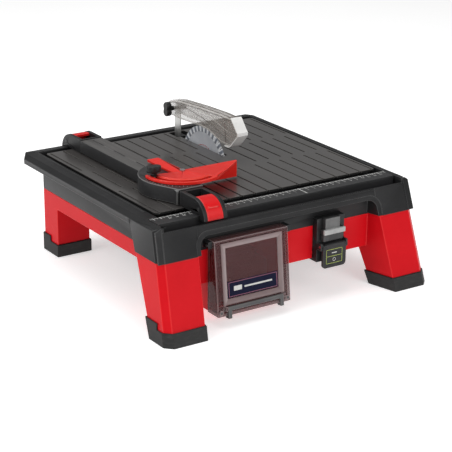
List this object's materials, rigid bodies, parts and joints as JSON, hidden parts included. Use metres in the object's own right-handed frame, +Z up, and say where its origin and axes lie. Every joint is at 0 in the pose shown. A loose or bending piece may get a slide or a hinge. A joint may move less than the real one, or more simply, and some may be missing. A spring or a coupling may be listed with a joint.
{
  "type": "wet tile saw",
  "caption": "Compact battery wet tile saw: grooved table on a splayed stand, guarded disc blade over a water tank, rip fence, mitre gauge, battery hatch.",
  "frame": {"origin": "centre of the bounding box on the ground plane under the feet", "axes": "+X to the operator's right, +Y to the rear of the table, +Z up"},
  "size_m": [0.4124, 0.4242, 0.201],
  "materials": {
    "housing_plastic": "charcoal plastic with a fine moulded grain",
    "frame_red": "red satin plastic",
    "gauge_red": "bright red plastic",
    "lever_red": "bright red plastic",
    "foot_rubber": "dark moulded rubber",
    "plate_enamel": "warm grey semi-gloss enamel",
    "ruler_black": "black with pale printed marks",
    "pack_black": "black plastic",
    "plain_steel": "turned steel",
    "switch_grey": "grey plastic",
    "switch_black": "black plastic",
    "board_green": "lacquered circuit board",
    "wire_red": "vinyl insulation",
    "can_steel": "zinc-plated steel",
    "cast_alloy": "cast aluminium",
    "seal_rubber": "nitrile rubber",
    "bracket_black": "black paint",
    "knife_steel": "brushed stainless steel",
    "blade_steel": "ground steel with a sintered rim",
    "flange_steel": "turned steel",
    "copper_iron": "laminated iron and copper winding",
    "fan_black": "black nylon",
    "guard_clear": "clear smoky polycarbonate",
    "knob_black": "black plastic",
    "fence_black": "satin black with a grey top",
    "head_black": "black plastic",
    "pad_grey": "grey rubber",
    "gauge_black": "black plastic",
    "screw_steel": "zinc-plated steel",
    "hatch_smoke": "smoky translucent polycarbonate",
    "latch_grey": "grey plastic",
    "tank_black": "black plastic"
  },
  "bodies": {
    "stand": {"top_housing": "housing_plastic", "base_frame": "frame_red", "foot_front_left": "foot_rubber", "foot_front_right": "foot_rubber", "foot_rear_left": "foot_rubber", "foot_rear_right": "foot_rubber", "table_plate": "plate_enamel", "front_ruler": "ruler_black", "rear_ruler": "ruler_black", "battery_bay": "frame_red", "battery_pack": "pack_black", "battery_terminals": "pack_black", "hatch_pins": "plain_steel", "switch_box": "switch_black", "switch_bezel": "switch_grey", "control_board": "board_green", "wiring_loom": "wire_red", "motor_can": "can_steel", "motor_cover": "housing_plastic", "gear_case": "cast_alloy", "gear_cover": "cast_alloy", "spindle_bearings": "plain_steel", "rotor_bearings": "plain_steel", "shaft_seal": "seal_rubber", "splash_shroud": "housing_plastic", "knife_bracket": "bracket_black", "riving_knife": "knife_steel", "knife_screws": "screw_steel", "housing_screws": "screw_steel", "paddle_pins": "plain_steel"},
    "blade_spindle": {"spindle": "plain_steel", "driven_gear": "plain_steel", "inner_flange": "flange_steel", "blade": "blade_steel", "outer_flange": "flange_steel", "flange_nut": "flange_steel"},
    "motor_rotor": {"rotor_shaft": "plain_steel", "armature": "copper_iron", "drive_pinion": "plain_steel", "motor_fan": "fan_black"},
    "guard": {"guard_hood": "guard_clear"},
    "guard_bolt": {"guard_knob": "knob_black"},
    "fence": {"fence_beam": "fence_black", "fence_front_head": "head_black", "fence_rear_head": "head_black", "lever_pins": "plain_steel"},
    "front_grip": {"front_lever": "lever_red"},
    "rear_grip": {"rear_lever": "lever_red"},
    "front_pad": {"front_shoe": "pad_grey"},
    "rear_pad": {"rear_shoe": "pad_grey"},
    "mitre_carriage": {"mitre_base": "gauge_black", "mitre_pivot_screw": "screw_steel"},
    "mitre_swivel": {"mitre_head": "gauge_red"},
    "mitre_clamp": {"mitre_knob": "knob_black"},
    "hatch": {"hatch_window": "hatch_smoke"},
    "latch": {"hatch_latch": "latch_grey"},
    "paddle": {"switch_paddle": "switch_black"},
    "tank": {"water_tank": "tank_black"},
    "plug": {"drain_plug": "seal_rubber"}
  },
  "joints": [
    {"name": "blade_spin", "type": "hinge", "parent": "stand", "child": "blade_spindle", "pos_m": [0.042, 0.0951, 0.112], "axis": [1, 0, 0], "continuous": true},
    {"name": "motor_spin", "type": "hinge", "parent": "stand", "child": "motor_rotor", "pos_m": [-0.056, 0.07979, 0.09669], "axis": [1, 0, 0], "continuous": true},
    {"name": "guard_pivot", "type": "hinge", "parent": "stand", "child": "guard", "pos_m": [0.042, 0.1671, 0.181], "axis": [-1, 0, 0], "range_deg": [-6, 55]},
    {"name": "guard_knob_turn", "type": "hinge", "parent": "guard", "child": "guard_bolt", "pos_m": [0.029, 0.1671, 0.181], "axis": [-1, 0, 0], "range_deg": [0, 180]},
    {"name": "fence_slide", "type": "slide", "parent": "stand", "child": "fence", "axis": [1, 0, 0], "range_m": [-0.055, 0.033]},
    {"name": "front_lever_turn", "type": "hinge", "parent": "fence", "child": "front_grip", "pos_m": [-0.107, -0.1519, 0.149], "axis": [-1, 0, 0], "range_deg": [0, 50]},
    {"name": "rear_lever_turn", "type": "hinge", "parent": "fence", "child": "rear_grip", "pos_m": [-0.107, 0.1981, 0.149], "axis": [1, 0, 0], "range_deg": [0, 50]},
    {"name": "front_pad_slide", "type": "slide", "parent": "fence", "child": "front_pad", "axis": [0, -1, 0], "range_m": [0, 0.001]},
    {"name": "rear_pad_slide", "type": "slide", "parent": "fence", "child": "rear_pad", "axis": [0, 1, 0], "range_m": [0, 0.001]},
    {"name": "mitre_slide", "type": "slide", "parent": "fence", "child": "mitre_carriage", "axis": [0, 1, 0], "range_m": [-0.002, 0.145]},
    {"name": "mitre_turn", "type": "hinge", "parent": "mitre_carriage", "child": "mitre_swivel", "pos_m": [-0.085, -0.0509, 0.163], "axis": [0, 0, 1], "range_deg": [-60, 0]},
    {"name": "mitre_knob_turn", "type": "hinge", "parent": "mitre_carriage", "child": "mitre_clamp", "pos_m": [-0.128, -0.0509, 0.167], "axis": [0, 0, 1], "range_deg": [-180, 0]},
    {"name": "hatch_hinge", "type": "hinge", "parent": "stand", "child": "hatch", "pos_m": [-0.0615, -0.1699, 0.107], "axis": [-1, 0, 0], "range_deg": [0, 90]},
    {"name": "hatch_latch_turn", "type": "hinge", "parent": "hatch", "child": "latch", "pos_m": [-0.0615, -0.18901, 0.02478], "axis": [-1, 0, 0], "range_deg": [0, 20], "stiffness_Nm_per_rad": 0.05, "springref_deg": -5.73},
    {"name": "switch_paddle_turn", "type": "hinge", "parent": "stand", "child": "paddle", "pos_m": [0.069, -0.1749, 0.072], "axis": [-1, 0, 0], "range_deg": [0, 25]},
    {"name": "tank_drop", "type": "slide", "parent": "stand", "child": "tank", "axis": [0, 0, -1], "range_m": [0, 0.03]},
    {"name": "drain_plug_pull", "type": "slide", "parent": "tank", "child": "plug", "axis": [0, 0, -1], "range_m": [0, 0.008]}
  ],
  "couplings": [
    {"joint": "motor_spin", "follows": "blade_spin", "ratio": -2.5833},
    {"joint": "front_pad_slide", "follows": "front_lever_turn", "m_per_rad": 0.0011},
    {"joint": "rear_pad_slide", "follows": "rear_lever_turn", "m_per_rad": 0.0011}
  ]
}
